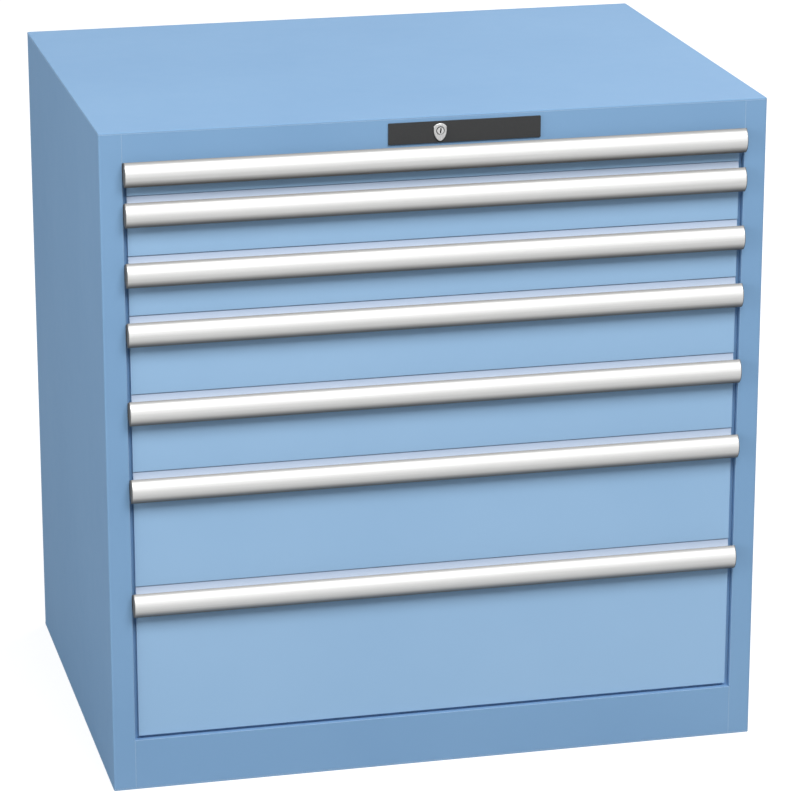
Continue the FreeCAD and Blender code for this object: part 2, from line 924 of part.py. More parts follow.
def roller_depths():
    """Depths of the two inner rollers and of the two outer ones, with the drawer shut."""
    beam_rear = sizes.beam_front + sizes.beam_length
    runner_rear = tray_front + sizes.tray_length
    inner = [
        sizes.beam_front + roller_radius() + sizes.roller_end_margin,
        runner_rear - sizes.stroke / 2 - sizes.roller_stop_margin,
    ]
    outer = [
        sizes.rail_front + sizes.stroke / 2 + sizes.roller_stop_margin,
        beam_rear - sizes.roller_end_margin,
    ]
    return inner, outer


def drawer_carriages(number):
    """Two beams; their inner rollers carry the drawer, and their outer ones run in the cabinet rails."""
    name = f"drawer_{number}_carriages"
    z = roller_z(number)
    beam = box(
        f"{name}_bar",
        beam_inner,
        behind(sizes.beam_front),
        z - sizes.beam_height / 2,
        sizes.beam_thickness,
        sizes.beam_length,
        sizes.beam_height,
    )
    inner, outer = roller_depths()
    inner_x = tray_side + sizes.channel_sheet + sizes.roller_side_gap
    outer_x = cabinet_rail_outer - sizes.channel_sheet - sizes.roller_side_gap - sizes.roller_width
    outer_x = outer_x - sizes.roller_side_gap
    pins = []
    rollers = []
    for index, depth in enumerate(inner):
        start = inner_x - sizes.pin_end
        length = beam_outer - start
        pins.append(rod(
            f"{name}_inner_pin_{index}", start, behind(depth), z, sizes.pin_radius, length, "x"
        ))
        rollers.append(roller(f"{name}_inner_roller_{index}", number, inner_x, depth))
    for index, depth in enumerate(outer):
        end = outer_x + sizes.roller_width + sizes.pin_end
        length = end - beam_inner
        pins.append(rod(
            f"{name}_outer_pin_{index}", beam_inner, behind(depth), z, sizes.pin_radius, length, "x"
        ))
        rollers.append(roller(f"{name}_outer_roller_{index}", number, outer_x, depth))
    right = group(f"{name}_right", [fused(f"{name}_beam", [beam] + pins)] + rollers)
    return node(group(f"{name}_pair", [right, mirrored(right)]), name)


def cabinet_rails():
    """Seven pairs of channels on the uprights, which the carriages run in."""
    pieces = []
    for number in range(1, DRAWERS + 1):
        rail = channel(
            f"cabinet_rail_{number}",
            number,
            cabinet_rail_outer,
            beam_outer + sizes.rail_gap,
            sizes.rail_front,
            sizes.rail_length,
            -1,
        )
        pieces.extend([rail, mirrored(rail)])
    return node(group("cabinet_rails_group", pieces), "cabinet_rails")


def rail_buffers():
    """A rubber block at the rear end of each cabinet rail, which stops the last roller."""
    pieces = []
    rear_roller = roller_depths()[1][1]
    depth = rear_roller + roller_radius() + sizes.buffer_gap
    for number in range(1, DRAWERS + 1):
        low = drawer_bottom(number) + sizes.channel_lift + sizes.channel_sheet
        block = box(
            f"rail_buffer_{number}",
            cabinet_rail_outer - sizes.channel_sheet - sizes.buffer_width,
            behind(depth),
            low,
            sizes.buffer_width,
            sizes.buffer_length,
            sizes.channel_height - 2 * sizes.channel_sheet,
        )
        pieces.extend([block, mirrored(block)])
    return node(group("rail_buffers_group", pieces), "rail_buffers")


# Central lock


def lock_plate():
    """Dark plate on the top rail, with the hole for the lock case."""
    low = plate_z - sizes.plate_height / 2
    steps = rectangle(-sizes.plate_left, low, sizes.plate_width, sizes.plate_height, sizes.plate_rounding)
    body = slab("lock_plate", "XZ_Plane", steps, sizes.plate_thickness, front_y - sizes.plate_thickness)
    hole = new_sketch(body, "hole", "XZ_Plane")
    draw_circle(hole, 0, lock_z, sizes.case_radius + sizes.case_gap)
    pocket(body, hole, sizes.plate_thickness)
    return node(body, "lock_plate")


def shield_outline():
    """A domed crown, straight flanks, and flanks that curve in to a blunt tip, seen from the front."""
    half = sizes.shield_width / 2
    shoulder_z = plate_z + sizes.shield_height / 2 - sizes.shield_crown
    flank_z = shoulder_z - sizes.shield_shoulder
    tip_z = plate_z - sizes.shield_height / 2
    rise = sizes.shield_crown
    crown = (half * half + rise * rise) / (2 * rise)
    tip = sizes.shield_tip_radius
    drop = flank_z - tip_z - tip
    side = (half * half + drop * drop - tip * tip) / (2 * (half - tip))
    middle_x = side - half
    touch_x = middle_x * tip / (side - tip)
    touch_z = flank_z - drop * side / (side - tip)
    return [
        Step(half, shoulder_z),
        Step(-half, shoulder_z, crown, (0, (shoulder_z + rise - crown).value)),
        Step(-half, flank_z),
        Step(-touch_x, touch_z, side, (middle_x.value, flank_z.value)),
        Step(touch_x, touch_z, tip, (0, (tip_z + tip).value)),
        Step(half, flank_z, side, (-middle_x.value, flank_z.value)),
    ]


def lock_escutcheon():
    """Shield with an eased edge, and a dished ring round the bore for the cylinder."""
    start = front_y - sizes.plate_thickness - sizes.shield_thickness
    body = slab("lock_escutcheon", "XZ_Plane", shield_outline(), sizes.shield_thickness, start)
    ease_edges(body, "Y", 0, sizes.shield_edge)
    dish = new_sketch(body, "dish", "XZ_Plane")
    draw_circle(dish, 0, lock_z, sizes.shield_dish_radius)
    pocket(body, dish, sizes.shield_dish_depth)
    bore = new_sketch(body, "bore", "XZ_Plane")
    draw_circle(bore, 0, lock_z, sizes.cylinder_radius + sizes.cylinder_gap)
    pocket(body, bore, sizes.shield_thickness)
    return node(body, "lock_escutcheon")


def lock_case():
    """Tube through the plate and the rail, which the cylinder turns in."""
    start = front_y - sizes.plate_thickness
    tube = rod("lock_case_tube", 0, start, lock_z, sizes.case_radius, sizes.case_length, "y")
    bore_radius = sizes.cylinder_radius + sizes.cylinder_gap
    bore = rod("lock_case_bore", 0, start, lock_z, bore_radius, sizes.case_length, "y")
    return node(cut("lock_case_shell", tube, bore), "lock_case")


def lock_nut():
    """Hexagonal nut that clamps the case behind the rail."""
    half_corner = sizes.nut_width / math.sqrt(3)
    points = []
    for index in range(6):
        angle = math.radians(60 * index)
        points.append((half_corner * math.cos(angle), lock_z + half_corner * math.sin(angle)))
    body = slab("lock_nut", "XZ_Plane", polygon(*points), sizes.nut_thickness, behind(sizes.sheet))
    hole = new_sketch(body, "hole", "XZ_Plane")
    draw_circle(hole, 0, lock_z, sizes.case_radius + sizes.case_gap)
    pocket(body, hole, sizes.nut_thickness)
    return node(body, "lock_nut")


def cylinder_start():
    """Y of the cylinder's face, just proud of the escutcheon."""
    return front_y - sizes.plate_thickness - sizes.shield_thickness - sizes.cylinder_proud


def cam_start():
    """Y of the cam's front face, behind the end of the case."""
    return front_y - sizes.plate_thickness + sizes.case_length + sizes.cylinder_gap


def lock_cylinder():
    """Cylinder with a stepped key slot in its face."""
    start = cylinder_start()
    core = rod("lock_core", 0, start, lock_z, sizes.cylinder_radius, cam_start() - start, "y")
    width = sizes.key_slot_width
    height = sizes.key_slot_height / 2
    slots = []
    for name, shift, low in (("upper", sizes.key_slot_step / 2, lock_z), ("lower", 0, lock_z - height)):
        slots.append(box(
            f"key_slot_{name}", shift - width / 2, start, low, width, sizes.key_slot_depth, height
        ))
    return node(cut("lock_cylinder_cut", core, fused("key_slot", slots)), "lock_cylinder")


def cam_pin_place():
    """The cam pin's X and Z offsets from the lock's axis at rest, up and to the left at 45 degrees."""
    offset = sizes.lock_travel / 2
    return -offset, offset


def lock_cam():
    """Disc on the rear of the cylinder, with the pin that drives the transfer bar."""
    start = cam_start()
    disc = rod("cam_disc", 0, start, lock_z, sizes.cam_radius, sizes.cam_thickness, "y")
    x, z = cam_pin_place()
    pin_start = start + sizes.cam_thickness
    pin_end = behind(sizes.transfer_depth + sizes.transfer_thickness)
    pin = rod("cam_pin", x, pin_start, lock_z + z, sizes.cam_pin_radius, pin_end - pin_start, "y")
    return node(fused("lock_cam_solid", [disc, pin]), "lock_cam")


def lock_bar_pin():
    """X and Z of the pin that the transfer bar lifts, at rest."""
    x = lock_bar_inner + sizes.lock_bar_width / 2
    z = lock_z - sizes.lock_travel / 2
    return x, z


def transfer_bar():
    """Flat bar behind the top rail; the cam shifts it, and its slanted slot lifts the lock bar."""
    low = lock_z - sizes.transfer_height / 2
    right = lock_bar_inner + sizes.lock_bar_width + sizes.lock_clearance
    steps = rectangle(-sizes.transfer_left, low, right + sizes.transfer_left, sizes.transfer_height)
    start = behind(sizes.transfer_depth)
    body = slab("transfer_bar", "XZ_Plane", steps, sizes.transfer_thickness, start)
    slots = new_sketch(body, "slots", "XZ_Plane")
    x, z = cam_pin_place()
    reach = sizes.cam_pin_radius + sizes.lock_clearance
    pin_rise = sizes.lock_travel * math.sqrt(0.5) - z
    draw(slots, rectangle(x - reach, lock_z + z - reach, 2 * reach, 2 * reach + pin_rise))
    pin_x, pin_z = lock_bar_pin()
    reach = (sizes.lock_bar_pin_radius + sizes.lock_clearance) * math.sqrt(2)
    travel = sizes.lock_travel
    draw(slots, polygon(
        (pin_x + reach, pin_z),
        (pin_x - travel, pin_z + travel + reach),
        (pin_x - travel - reach, pin_z + travel),
        (pin_x, pin_z - reach),
    ))
    pocket(body, slots, sizes.transfer_thickness)
    return node(body, "lock_transfer_bar")


def lock_bar():
    """Upright bar at the right, with a pin at its top and a finger beside each drawer's catch."""
    start = behind(sizes.lock_bar_depth)
    thickness = sizes.lock_bar_thickness
    pin_x, pin_z = lock_bar_pin()
    foot = sizes.stack_base + sizes.lock_bar_foot
    top = pin_z + 2 * sizes.lock_bar_pin_radius
    strip = box("lock_bar_strip", lock_bar_inner, start, foot, sizes.lock_bar_width, thickness, top - foot)
    pin_start = behind(sizes.transfer_depth - sizes.transfer_thickness)
    pin = rod(
        "lock_bar_pin", pin_x, pin_start, pin_z, sizes.lock_bar_pin_radius, start - pin_start, "y"
    )
    pieces = [strip, pin]
    for number in range(1, DRAWERS + 1):
        pieces.append(box(
            f"lock_finger_{number}",
            lock_bar_inner - sizes.finger_reach,
            start,
            drawer_bottom(number) + sizes.finger_lift,
            sizes.finger_reach,
            thickness,
            sizes.finger_height,
        ))
    return node(group("lock_bar_group", pieces), "lock_bar")


def transfer_guide(name, x):
    """Bracket under the lid that the transfer bar slides through."""
    gap = sizes.guide_clearance
    wall = sizes.guide_wall
    low = lock_z - sizes.transfer_height / 2 - gap
    y = behind(sizes.transfer_depth) - gap
    length = sizes.transfer_thickness + 2 * gap
    height = sizes.transfer_height + 2 * gap
    bottom = low - wall
    block = box(
        f"{name}_block", x, y - wall, bottom, sizes.guide_thickness, length + 2 * wall, lid_z - bottom
    )
    window = box(f"{name}_window", x, y, low, sizes.guide_thickness, length, height)
    return cut(name, block, window)


def bar_guide(name, number):
    """Bracket on the right stile that the lock bar slides through."""
    gap = sizes.guide_clearance
    wall = sizes.guide_wall
    x = lock_bar_inner - gap
    y = behind(sizes.lock_bar_depth) - gap
    z = drawer_bottom(number) + sizes.guide_lift
    width = sizes.lock_bar_width + 2 * gap
    length = sizes.lock_bar_thickness + 2 * gap
    stile_rear = behind(sizes.stile_depth)
    block = box(
        f"{name}_block", x - wall, stile_rear, z, width + 2 * wall, y + length + wall - stile_rear,
        sizes.guide_thickness
    )
    window = box(f"{name}_window", x, y, z, width, length, sizes.guide_thickness)
    return cut(name, block, window)


def lock_guides():
    """Brackets that carry the transfer bar and the lock bar."""
    spread = opening / 2
    pieces = [transfer_guide("inner_guide", spread / 2), transfer_guide("outer_guide", spread + spread / 2)]
    for number in (3, 5, 7):
        pieces.append(bar_guide(f"bar_guide_{number}", number))
    return node(group("lock_guides_group", pieces), "lock_guides")


# Assembly


def build_housing():
    side_panel("left_side_panel", LEFT)
    side_panel("right_side_panel", RIGHT)
    back_panel()
    top_panel()
    base_panel()
    top_rail()
    bottom_rail()
    uprights()
    cabinet_rails()
    rail_buffers()


def build_drawer(number):
    drawer_tray(number)
    drawer_front(number)
    drawer_grip(number)
    drawer_caps(number)
    drawer_carriages(number)
    if number > 1:
        drawer_label(number)


def build_lock():
    lock_plate()
    lock_escutcheon()
    lock_case()
    lock_nut()
    lock_cylinder()
    lock_cam()
    transfer_bar()
    lock_bar()
    lock_guides()


def check_document():
    """Stop if any object failed or any sub-part is empty or broken."""
    for item in doc.Objects:
        if "Invalid" in item.State or "Error" in item.State:
            raise ValueError(f"{item.Label} failed: {item.State}")
    for item in nodes:
        if item.Shape.isNull() or not item.Shape.isValid():
            raise ValueError(f"{item.Label} has no valid shape")


def write_parts():
    """Write each sub-part to its own file."""
    os.makedirs("parts", exist_ok=True)
    for item in nodes:
        item.Shape.exportStep(f"parts/{item.Label}.step")
        print(f"{item.Label}: {len(item.Shape.Solids)} solids, {item.Shape.Volume / 1000:.1f} cm3")


build_housing()
for drawer in range(1, DRAWERS + 1):
    build_drawer(drawer)
build_lock()
doc.recompute()
check_document()
write_parts()
print(f"{len(nodes)} sub-parts")
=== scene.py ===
import json
import math

import bpy
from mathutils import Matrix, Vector

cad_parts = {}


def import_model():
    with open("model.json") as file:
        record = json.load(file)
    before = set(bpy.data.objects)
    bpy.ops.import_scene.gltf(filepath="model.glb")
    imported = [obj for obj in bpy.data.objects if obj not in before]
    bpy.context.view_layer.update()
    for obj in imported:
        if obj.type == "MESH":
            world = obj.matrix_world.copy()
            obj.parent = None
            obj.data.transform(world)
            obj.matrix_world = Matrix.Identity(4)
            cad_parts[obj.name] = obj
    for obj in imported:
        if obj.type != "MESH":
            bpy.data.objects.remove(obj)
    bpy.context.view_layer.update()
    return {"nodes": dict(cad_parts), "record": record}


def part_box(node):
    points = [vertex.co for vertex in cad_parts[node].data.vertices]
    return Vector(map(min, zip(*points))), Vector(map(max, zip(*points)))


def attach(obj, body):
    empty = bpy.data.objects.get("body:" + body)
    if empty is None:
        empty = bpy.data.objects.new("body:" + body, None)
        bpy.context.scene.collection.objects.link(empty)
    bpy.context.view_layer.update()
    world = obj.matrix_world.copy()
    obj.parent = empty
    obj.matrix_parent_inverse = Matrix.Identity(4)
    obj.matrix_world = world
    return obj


# Looks of a modular drawer cabinet: powder-coated steel, satin aluminium grips, pale label strips and a
# dark lock plate.
# Lengths are in metres, in the row frame: X to the right, Y to the rear, Z up.

# Camera, as the photograph shows the cabinet: angles in degrees, lens and sensor in millimetres
CAMERA_AZIMUTH = -13.435
CAMERA_ELEVATION = 17.487
CAMERA_DISTANCE = 4.594
CAMERA_LENS = 166.2
CAMERA_REACH = 50.0
SENSOR_WIDTH = 36
AIM_X = -0.0496
AIM_Z = 0.4903

# Surroundings: the point that the lamps look at, the strength of the light from all round, and the floor's
# half side, roughness and glow
LAMP_AIM = (0.0, 0.0, 0.45)
SKY_LIGHT = 0.24
FLOOR_HALF_SIDE = 12.0
FLOOR_ROUGHNESS = 0.9
FLOOR_GLOW = 0.8

# Depths behind the face at which the lock's two hollows change to painted shade: the keyway, and the dished
# ring
KEYWAY_START = 0.0001
KEYWAY_END = 0.0005
RING_START = 0.0009
RING_END = 0.0012

# Blind rivets down both rear flanges: head outline as (radius, height) pairs, places, and sides of the ring
RIVET_HEAD = (
    (0.0, 0.0002),
    (0.0009, 0.0003),
    (0.0011, 0.0010),
    (0.0017, 0.0013),
    (0.0026, 0.0010),
    (0.0032, 0.0),
)
RIVETS_PER_SIDE = 7
RIVET_FROM_EDGE = 0.0105
RIVET_MARGIN = 0.045
RIVET_SIDES = 28

# Sockets of the colour mix node, and samples of the bevel node
MIX_FACTOR = 0
MIX_FIRST = 6
MIX_SECOND = 7
MIX_RESULT = 2
BEVEL_SAMPLES = 4

# Agreement of rounded and true normals: below the first it is an edge, and above the second a flat face
EDGE_AGREEMENT = 0.82
FLAT_AGREEMENT = 0.99

# Colours, linear
WHITE = (1.0, 1.0, 1.0, 1.0)
# Painted highlight along the paint's sharp edges
PAINT_EDGE_HIGHLIGHT = (0.56, 0.72, 0.88)
FRONT_PAINT = (0.335, 0.530, 0.765)
FRONT_PAINT_DEEP = (0.312, 0.506, 0.742)
HOUSING_PAINT = (0.228, 0.400, 0.625)
HOUSING_PAINT_DEEP = (0.208, 0.374, 0.598)
ALUMINIUM = (0.88, 0.88, 0.875)
ALUMINIUM_DARK = (0.80, 0.80, 0.79)
# Painted shade along the grips' lower and upper edges
GRIP_PAINTED_SHADE = (0.085, 0.080, 0.074)
CAP = (0.105, 0.100, 0.092)
CAP_LIGHT = (0.135, 0.128, 0.118)
LABEL = (0.57, 0.67, 0.83)
LABEL_FIBRE = (0.53, 0.63, 0.79)
LABEL_SHADE = (0.39, 0.49, 0.66)
ZINC = (0.50, 0.51, 0.52)
ZINC_DARK = (0.36, 0.37, 0.39)
RUBBER = (0.012, 0.012, 0.013)
RUBBER_WORN = (0.03, 0.03, 0.03)
LOCK_DARK = (0.034, 0.035, 0.036)
LOCK_DARK_GRAIN = (0.046, 0.047, 0.048)
SILVER = (0.86, 0.86, 0.85)
SILVER_DARK = (0.66, 0.66, 0.66)
# Painted shade in the lock's dished ring and keyway
RING_PAINTED_SHADE = (0.36, 0.36, 0.36)
KEYWAY_PAINTED_SHADE = (0.015, 0.015, 0.015)
FLOOR = (0.30, 0.30, 0.30)

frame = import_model()


# Node helpers


class Tree:
    """A material's node tree with its main shader."""

    def __init__(self, name):
        self.material = bpy.data.materials.new(name)
        self.material.use_nodes = True
        self.nodes = self.material.node_tree.nodes
        self.links = self.material.node_tree.links
        self.shader = self.nodes["Principled BSDF"]
        coordinates = self.nodes.new("ShaderNodeTexCoord")
        self.places = coordinates.outputs["Object"]
        self.facings = coordinates.outputs["Normal"]
        self.shares = coordinates.outputs["Generated"]

    def new(self, kind, **settings):
        """A node with some of its settings."""
        node = self.nodes.new(kind)
        for name, value in settings.items():
            setattr(node, name, value)
        return node

    def join(self, output, socket):
        """A link from one node's output to another's socket."""
        self.links.new(output, socket)

    def stretched(self, stretch):
        """Object coordinates scaled along each axis."""
        mapping = self.new("ShaderNodeMapping")
        mapping.inputs["Scale"].default_value = stretch
        self.join(self.places, mapping.inputs["Vector"])
        return mapping.outputs["Vector"]

    def noise(self, scale, detail=3.0, roughness=0.5, stretch=(1, 1, 1)):
        """Noise from 0 to 1."""
        texture = self.new("ShaderNodeTexNoise")
        self.join(self.stretched(stretch), texture.inputs["Vector"])
        texture.inputs["Scale"].default_value = scale
        texture.inputs["Detail"].default_value = detail
        texture.inputs["Roughness"].default_value = roughness
        return texture.outputs["Fac"]

    def cells(self, scale):
        """Random value per cell, from 0 to 1."""
        texture = self.new("ShaderNodeTexVoronoi")
        self.join(self.places, texture.inputs["Vector"])
        texture.inputs["Scale"].default_value = scale
        parts = self.new("ShaderNodeSeparateColor")
        self.join(texture.outputs["Color"], parts.inputs["Color"])
        return parts.outputs["Red"]

    def along(self, vector, axis):
        """One part of a vector, such as the height of a place."""
        parts = self.new("ShaderNodeSeparateXYZ")
        self.join(vector, parts.inputs["Vector"])
        return parts.outputs[axis]

    def upward(self):
        """How far the surface faces up, from -1 to 1."""
        return self.along(self.facings, "Z")

    def rounded(self, radius):
        """Surface normal as it would be with sharp edges rounded by a small radius."""
        bevel = self.new("ShaderNodeBevel", samples=BEVEL_SAMPLES)
        bevel.inputs["Radius"].default_value = radius
        return bevel.outputs["Normal"]

    def edges(self, radius):
        """1 along sharp edges and 0 on flat faces."""
        agreement = self.new("ShaderNodeVectorMath", operation="DOT_PRODUCT")
        self.join(self.rounded(radius), agreement.inputs[0])
        self.join(self.new("ShaderNodeNewGeometry").outputs["Normal"], agreement.inputs[1])
        return self.spread(agreement.outputs["Value"], 1.0, 0.0, EDGE_AGREEMENT, FLAT_AGREEMENT)

    def larger(self, first, second):
        """The larger of two values."""
        node = self.new("ShaderNodeMath", operation="MAXIMUM")
        self.join(first, node.inputs[0])
        self.join(second, node.inputs[1])
        return node.outputs[0]

    def spread(self, value, low, high, start=0.0, end=1.0, smooth=False):
        """A value mapped from the range between start and end to the range between low and high."""
        mapped = self.new("ShaderNodeMapRange")
        if smooth:
            mapped.interpolation_type = "SMOOTHSTEP"
        self.join(value, mapped.inputs["Value"])
        mapped.inputs["From Min"].default_value = start
        mapped.inputs["From Max"].default_value = end
        mapped.inputs["To Min"].default_value = low
        mapped.inputs["To Max"].default_value = high
        return mapped.outputs["Result"]

    def mixed(self, factor, first, second):
        """Two colours mixed; each is three numbers or an output."""
        mix = self.new("ShaderNodeMix", data_type="RGBA")
        self.join(factor, mix.inputs[MIX_FACTOR])
        for socket, colour in ((mix.inputs[MIX_FIRST], first), (mix.inputs[MIX_SECOND], second)):
            if isinstance(colour, tuple):
                socket.default_value = (*colour, 1.0)
            else:
                self.join(colour, socket)
        return mix.outputs[MIX_RESULT]

    def relief(self, *layers, rounding):
        """Bumps from (height, strength, distance) layers over edges rounded by a small radius."""
        normal = self.rounded(rounding)
        for height, strength, distance in layers:
            bump = self.new("ShaderNodeBump")
            bump.inputs["Strength"].default_value = strength
            bump.inputs["Distance"].default_value = distance
            self.join(height, bump.inputs["Height"])
            self.join(normal, bump.inputs["Normal"])
            normal = bump.outputs["Normal"]
        self.join(normal, self.shader.inputs["Normal"])

    def set(self, **values):
        """Uniform values on the shader's own sockets; words are joined by underscores."""
        for name, value in values.items():
            self.shader.inputs[name.replace("_", " ")].default_value = value

    def colour(self, output):
        """The surface's colour."""
        self.join(output, self.shader.inputs["Base Color"])

    def roughness(self, output):
        """The surface's roughness."""
        self.join(output, self.shader.inputs["Roughness"])


# Materials


def paint(name, light, deep):
    """Satin powder coat with faint clouds, fine speckle, painted highlights along its edges and an
    orange-peel surface.
    """
    tree = Tree(name)
    clouds = tree.noise(scale=3.5, detail=4.0)
    speckle = tree.noise(scale=2600.0, detail=1.0)
    base = tree.mixed(tree.spread(clouds, 0.0, 1.0, start=0.3, end=0.7), deep, light)
    base = tree.mixed(tree.spread(speckle, 0.0, 0.5, start=0.45, end=0.8), base, deep)
    # Painted highlight: the colour is lightened along sharp edges.
    tree.colour(tree.mixed(tree.spread(tree.edges(radius=0.0012), 0.0, 0.6), base, PAINT_EDGE_HIGHLIGHT))
    tree.roughness(tree.spread(tree.noise(scale=40.0), 0.50, 0.60))
    peel = tree.noise(scale=700.0, detail=2.0)
    waves = tree.noise(scale=9.0, detail=2.0)
    tree.relief((waves, 0.25, 0.0006), (peel, 0.16, 0.00012), rounding=0.0009)
    tree.set(Specular_IOR_Level=0.15)
    return tree.material


def grip_metal():
    """Satin anodised aluminium with lines along the extrusion, darkened along both edges by painted shade
    where the face turns down and where it turns up.
    """
    tree = Tree("satin_aluminium")
    lines = tree.noise(scale=1.0, roughness=0.6, stretch=(3.0, 900.0, 900.0))
    metal = tree.mixed(tree.spread(lines, 0.0, 1.0, start=0.35, end=0.75), ALUMINIUM_DARK, ALUMINIUM)
    # Painted shade: the colour goes dark where the face turns down and where it turns up, along both edges of
    # the grip.
    facing = tree.upward()
    below = tree.spread(facing, 0.0, 0.97, start=-0.24, end=-0.84, smooth=True)
    above = tree.spread(facing, 0.0, 0.84, start=0.32, end=0.90, smooth=True)
    tree.colour(tree.mixed(tree.larger(below, above), metal, GRIP_PAINTED_SHADE))
    tree.roughness(tree.spread(lines, 0.36, 0.48))
    tree.relief((lines, 0.10, 0.00005), rounding=0.0004)
    tree.set(Metallic=0.35, Specular_IOR_Level=0.3)
    return tree.material


def cap_plastic():
    """Moulded end cap with an eroded grain."""
    tree = Tree("cap_plastic")
    grain = tree.noise(scale=900.0)
    tree.colour(tree.mixed(grain, CAP, CAP_LIGHT))
    tree.roughness(tree.spread(grain, 0.5, 0.65))
    tree.relief((grain, 0.3, 0.0001), rounding=0.0003)
    return tree.material


def label_strip():
    """Pale paper with faint fibres, with painted shade along its top, under a clear glossy cover."""
    tree = Tree("label_strip")
    fibres = tree.noise(scale=1.0, detail=4.0, roughness=0.6, stretch=(180.0, 1400.0, 1400.0))
    blotches = tree.noise(scale=14.0)
    base = tree.mixed(tree.spread(fibres, 0.0, 1.0, start=0.4, end=0.8), LABEL, LABEL_FIBRE)
    base = tree.mixed(tree.spread(blotches, 0.0, 0.25, start=0.4, end=0.7), base, LABEL)
    # Painted shade: the colour darkens towards the strip's top.
    height = tree.along(tree.shares, "Z")
    tree.colour(tree.mixed(tree.spread(height, 0.0, 1.0, start=0.2, end=1.1), base, LABEL_SHADE))
    tree.roughness(tree.spread(blotches, 0.35, 0.5))
    tree.relief((tree.noise(scale=60.0, detail=2.0), 0.12, 0.0002), rounding=0.0002)
    tree.set(Coat_Weight=0.5, Coat_Roughness=0.08)
    return tree.material


def zinc_steel():
    """Zinc-plated sheet with a soft spangle and rolling lines."""
    tree = Tree("zinc_steel")
    spangle = tree.cells(scale=160.0)
    lines = tree.noise(scale=1.0, detail=2.0, stretch=(500.0, 6.0, 500.0))
    mixed = tree.mixed(tree.spread(spangle, 0.0, 0.6), ZINC, ZINC_DARK)
    tree.colour(tree.mixed(tree.spread(lines, 0.0, 0.3, start=0.4, end=0.7), mixed, ZINC))
    tree.roughness(tree.spread(spangle, 0.50, 0.62))
    tree.relief((lines, 0.12, 0.00008), rounding=0.0004)
    tree.set(Metallic=0.75)
    return tree.material


def rubber():
    """Black rubber with a dusty grain."""
    tree = Tree("rubber")
    grain = tree.noise(scale=500.0, detail=4.0)
    tree.colour(tree.mixed(tree.spread(grain, 0.0, 1.0, start=0.45, end=0.8), RUBBER, RUBBER_WORN))
    tree.roughness(tree.spread(grain, 0.7, 0.9))
    tree.relief((grain, 0.4, 0.0002), rounding=0.0006)
    return tree.material


def lock_dark():
    """Dark moulded plate with an eroded grain."""
    tree = Tree("lock_plate_dark")
    grain = tree.noise(scale=1300.0)
    clouds = tree.noise(scale=30.0, detail=2.0)
    base = tree.mixed(tree.spread(grain, 0.0, 1.0, start=0.3, end=0.7), LOCK_DARK, LOCK_DARK_GRAIN)
    tree.colour(tree.mixed(tree.spread(clouds, 0.0, 0.3), base, LOCK_DARK))
    tree.roughness(tree.spread(clouds, 0.55, 0.68))
    tree.relief((grain, 0.25, 0.00008), rounding=0.0004)
    tree.set(Specular_IOR_Level=0.3)
    return tree.material


def lock_silver(name, metallic, face_y, painted_shade, hollow_start, hollow_end):
    """Satin chrome with fine turning marks; behind the face its colour changes to a painted shade for the
    hollow.
    """
    tree = Tree(name)
    marks = tree.noise(scale=1.0, detail=2.0, stretch=(1500.0, 1500.0, 120.0))
    chrome = tree.mixed(tree.spread(marks, 0.0, 1.0, start=0.3, end=0.7), SILVER_DARK, SILVER)
    # Painted shade: behind the face the colour turns to the given shade colour.
    behind = tree.along(tree.places, "Y")
    deep = tree.spread(behind, 0.0, 1.0, face_y + hollow_start, face_y + hollow_end)
    tree.colour(tree.mixed(deep, chrome, painted_shade))
    tree.roughness(tree.spread(marks, 0.24, 0.36))
    tree.relief((marks, 0.08, 0.00004), rounding=0.0002)
    tree.set(Metallic=metallic)
    return tree.material


def escutcheon_silver():
    """Chrome of the shield, with a grey ring of painted shade in its dish."""
    face_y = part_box("lock_escutcheon")[0].y
    return lock_silver(
        "satin_chrome",
        metallic=0.55,
        face_y=face_y,
        painted_shade=RING_PAINTED_SHADE,
        hollow_start=RING_START,
        hollow_end=RING_END,
    )


def cylinder_silver():
    """Chrome of the lock cylinder, with its keyway painted dark as shade."""
    face_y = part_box("lock_cylinder")[0].y
    return lock_silver(
        "satin_chrome_keyed",
        metallic=0.25,
        face_y=face_y,
        painted_shade=KEYWAY_PAINTED_SHADE,
        hollow_start=KEYWAY_START,
        hollow_end=KEYWAY_END,
    )


def dress_nodes():
    """Give every CAD node the material of its record slot, but the lock cylinder its own chrome."""
    materials = {
        "housing_paint": paint("housing_powder_coat", HOUSING_PAINT, HOUSING_PAINT_DEEP),
        "front_paint": paint("front_powder_coat", FRONT_PAINT, FRONT_PAINT_DEEP),
        "grip_metal": grip_metal(),
        "cap_plastic": cap_plastic(),
        "label_strip": label_strip(),
        "zinc_steel": zinc_steel(),
        "rubber": rubber(),
        "lock_dark": lock_dark(),
        "lock_silver": escutcheon_silver(),
    }
    for part in frame["record"]["subparts"]:
        mesh = frame["nodes"][part["node"]].data
        mesh.materials.clear()
        mesh.materials.append(materials[part["material_slot"]])
    frame["nodes"]["lock_cylinder"].data.materials[0] = cylinder_silver()
    return materials


# Objects


def new_mesh(name, corners, faces, material):
    """A mesh of one material."""
    mesh = bpy.data.meshes.new(name)
    mesh.from_pydata(corners, [], faces)
    mesh.materials.append(material)
    return mesh


def new_object(name, data):
    """An object in the scene that shows a mesh, a lamp or a camera."""
    made = bpy.data.objects.new(name, data)
    bpy.context.scene.collection.objects.link(made)
    return made


def look(thing, direction):
    """Turn a lamp or the camera to look along a direction."""
    thing.rotation_mode = "QUATERNION"
    thing.rotation_quaternion = direction.to_track_quat("-Z", "Y")


# Small pieces that the housing carries


